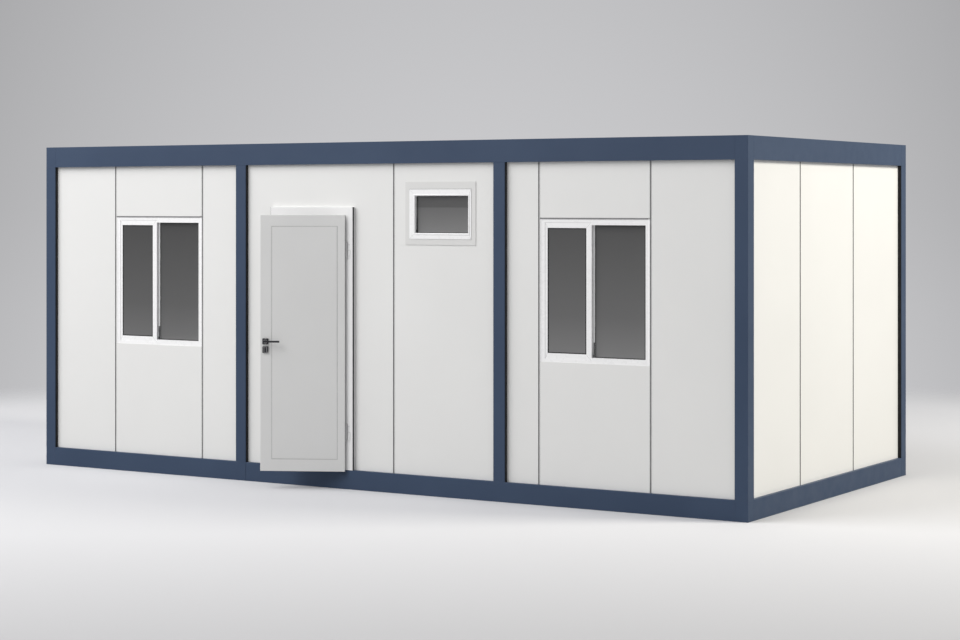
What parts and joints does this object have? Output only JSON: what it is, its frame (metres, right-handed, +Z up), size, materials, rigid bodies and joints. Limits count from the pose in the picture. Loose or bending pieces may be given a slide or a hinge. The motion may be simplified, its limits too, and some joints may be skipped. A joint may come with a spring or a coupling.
{
  "type": "portable site cabin",
  "caption": "Steel-framed portable cabin with insulated wall panels, sliding windows, a small high window and a hinged door standing ajar.",
  "frame": {"origin": "centre of the underside of the floor, on the ground", "axes": "+X along the front from left to right, +Y from the front wall to the back wall, +Z up"},
  "size_m": [6.4, 3.3874, 2.65],
  "materials": {
    "frame_steel": "navy satin paint on rolled steel",
    "wall_panel": "off-white coated sheet",
    "door_frame_paint": "white satin paint",
    "door_paint": "light grey satin paint",
    "window_plastic": "white moulded profile",
    "window_glass": "dark grey double glazing",
    "galvanised_steel": "galvanised sheet",
    "floor_board": "sealed plywood",
    "ceiling_board": "matt white board",
    "hinge_steel": "zinc plated",
    "lever_metal": "dark grey powder coat"
  },
  "bodies": {
    "cabin": {"corner_blocks_bottom": "frame_steel", "corner_blocks_top": "frame_steel", "corner_posts": "frame_steel", "mid_posts": "frame_steel", "bottom_rail_front": "frame_steel", "bottom_rail_back": "frame_steel", "bottom_rail_left": "frame_steel", "bottom_rail_right": "frame_steel", "top_rail_front": "frame_steel", "top_rail_back": "frame_steel", "top_rail_left": "frame_steel", "top_rail_right": "frame_steel", "floor_pan": "galvanised_steel", "floor_joists": "galvanised_steel", "floor_deck": "floor_board", "ceiling": "ceiling_board", "roof_purlins": "galvanised_steel", "roof_sheet": "galvanised_steel", "front_plain_panels": "wall_panel", "front_sill_panels": "wall_panel", "front_head_panels": "wall_panel", "door_side_panel_left": "wall_panel", "door_side_panel_right": "wall_panel", "door_head_panel": "wall_panel", "small_window_panel": "wall_panel", "left_end_panels": "wall_panel", "right_end_panels": "wall_panel", "back_panels": "wall_panel", "window_frames": "window_plastic", "window_left_sashes": "window_plastic", "window_left_panes": "window_glass", "window_right_sashes": "window_plastic", "window_right_panes": "window_glass", "window_latches": "lever_metal", "small_window_trim": "wall_panel", "small_window_frame": "window_plastic", "small_window_pane": "window_glass", "door_jamb_left": "door_frame_paint", "door_jamb_right": "door_frame_paint", "door_frame_head": "door_frame_paint", "jamb_hinges": "hinge_steel"},
    "door": {"door_leaf": "door_paint", "leaf_hinges": "hinge_steel", "lock_plates": "lever_metal"},
    "door_lever": {"door_lever": "lever_metal"}
  },
  "joints": [
    {"name": "door_hinge", "type": "hinge", "parent": "cabin", "child": "door", "pos_m": [-0.13616, -1.533, 1.1], "axis": [0, 0, 1], "range_deg": [-26.5, 63.5]},
    {"name": "lever_turn", "type": "hinge", "parent": "door", "child": "door_lever", "pos_m": [-0.68745, -1.82127, 1.127], "axis": [-0.4462, 0.8949, 0], "range_deg": [0, 40], "stiffness_Nm_per_rad": 1.5, "springref_deg": -20.05}
  ]
}
